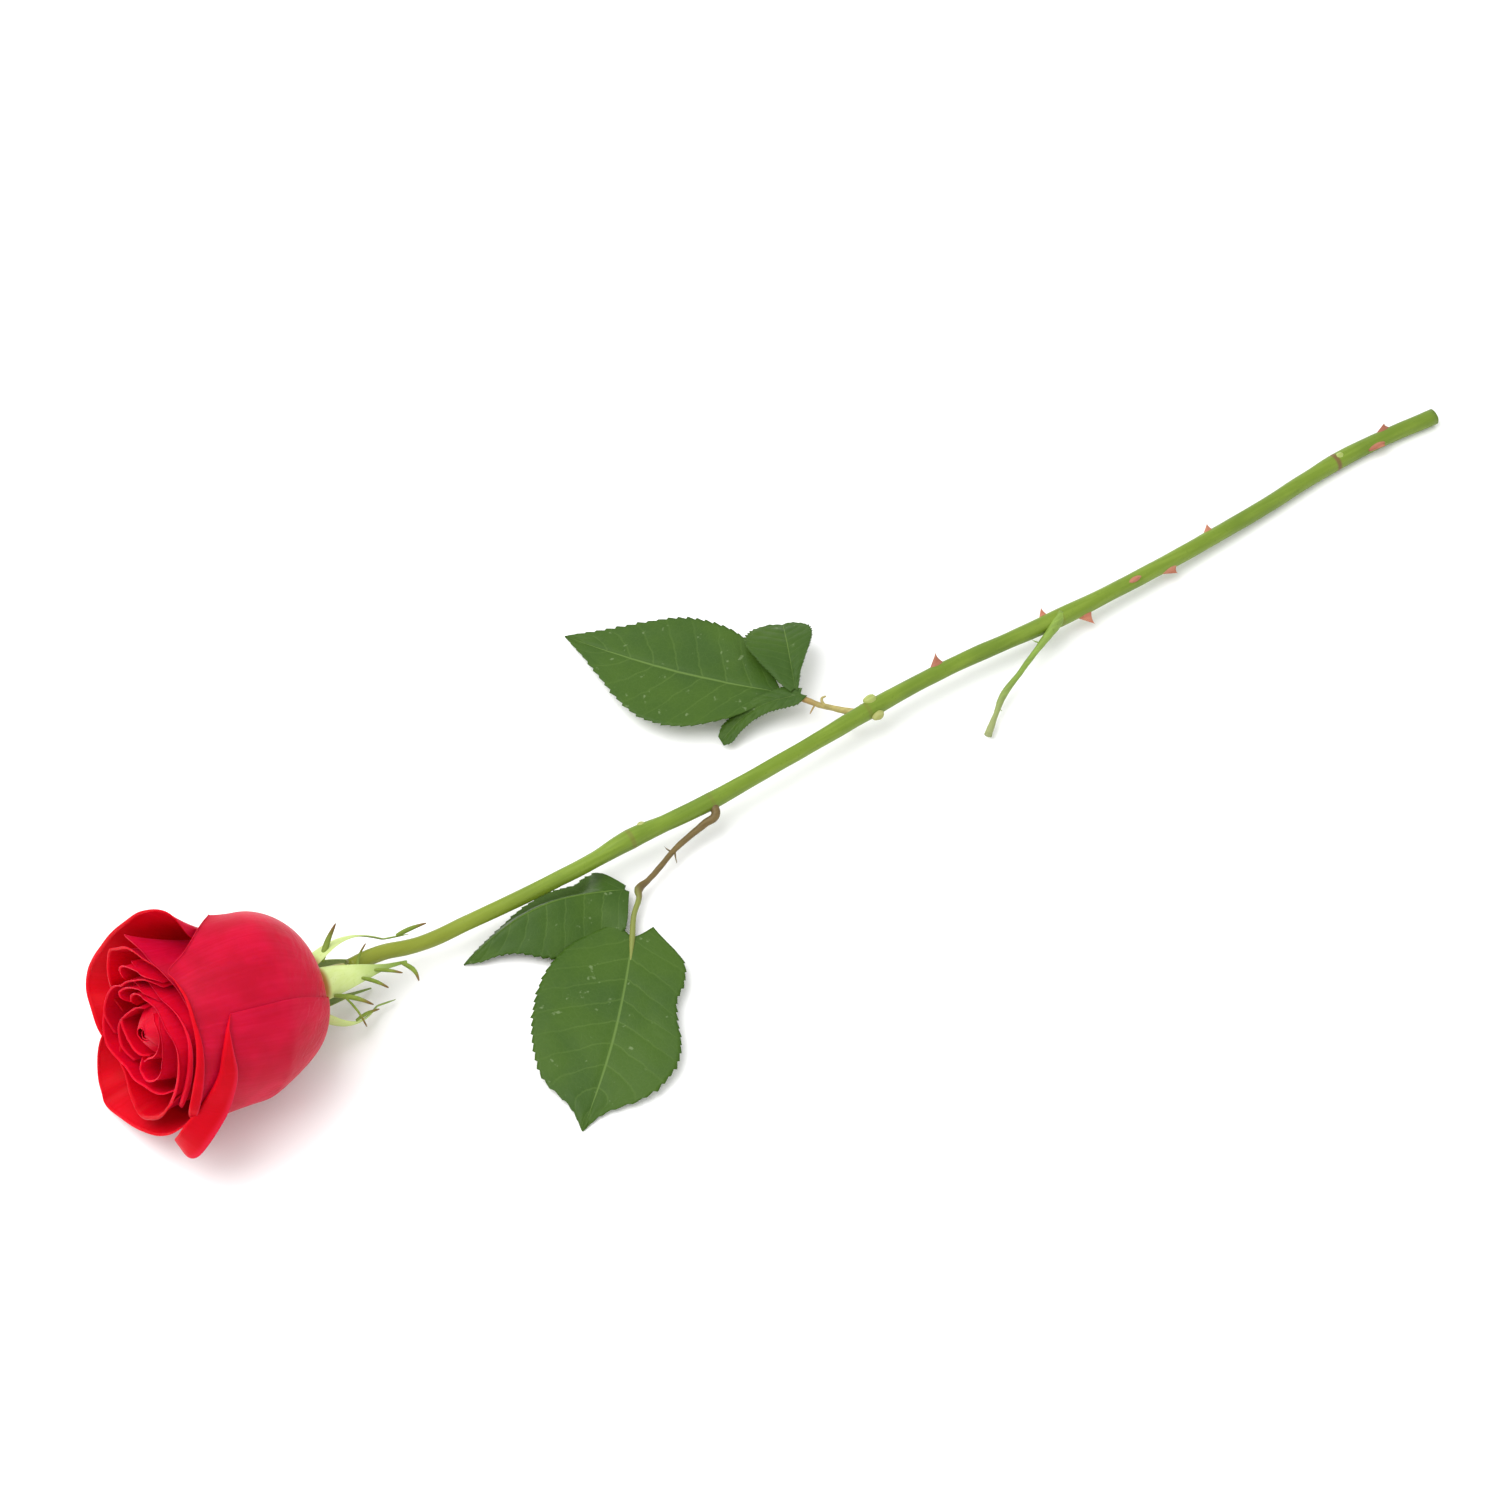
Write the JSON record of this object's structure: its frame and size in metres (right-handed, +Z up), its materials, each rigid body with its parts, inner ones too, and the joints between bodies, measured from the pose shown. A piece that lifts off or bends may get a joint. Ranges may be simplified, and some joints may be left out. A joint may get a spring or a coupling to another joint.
{
  "type": "cut rose",
  "caption": "Cut long-stemmed red rose lying on its side, with layered petals, sepals, prickles and two leaf sprays.",
  "frame": {"origin": "on the floor, below the centre of the rose's bounding box", "axes": "+X along the stem towards its cut end, +Z up from the floor, bloom at -X"},
  "size_m": [0.4688, 0.1536, 0.0557],
  "materials": {
    "petal": "velvety satin",
    "sepal": "matte",
    "receptacle": "matte",
    "stem": "waxy satin",
    "stalk": "satin",
    "leaf": "satin",
    "prickle": "satin"
  },
  "bodies": {
    "root": {"leaf_stalk_a": "stalk", "leaf_stalk_b": "stalk", "leaf_stalk_stub": "stalk", "leaflet_a_end": "leaf", "leaflet_a_far": "leaf", "leaflet_a_near": "leaf", "leaflet_b_end": "leaf", "leaflet_b_side": "leaf", "petal_01": "petal", "petal_02": "petal", "petal_03": "petal", "petal_04": "petal", "petal_05": "petal", "petal_06": "petal", "petal_07": "petal", "petal_08": "petal", "petal_09": "petal", "petal_10": "petal", "petal_11": "petal", "petal_12": "petal", "petal_13": "petal", "petal_14": "petal", "petal_15": "petal", "petal_16": "petal", "petal_17": "petal", "petal_18": "petal", "petal_19": "petal", "petal_20": "petal", "petal_21": "petal", "petal_22": "petal", "petal_23": "petal", "petal_24": "petal", "petal_25": "petal", "petal_26": "petal", "petal_27": "petal", "prickle_1": "prickle", "prickle_2": "prickle", "prickle_3": "prickle", "prickle_4": "prickle", "prickle_5": "prickle", "prickle_6": "prickle", "prickle_7": "prickle", "prickle_8": "prickle", "receptacle": "receptacle", "sepal_1": "sepal", "sepal_2": "sepal", "sepal_3": "sepal", "sepal_4": "sepal", "sepal_5": "sepal", "stem": "stem"}
  },
  "joints": []
}
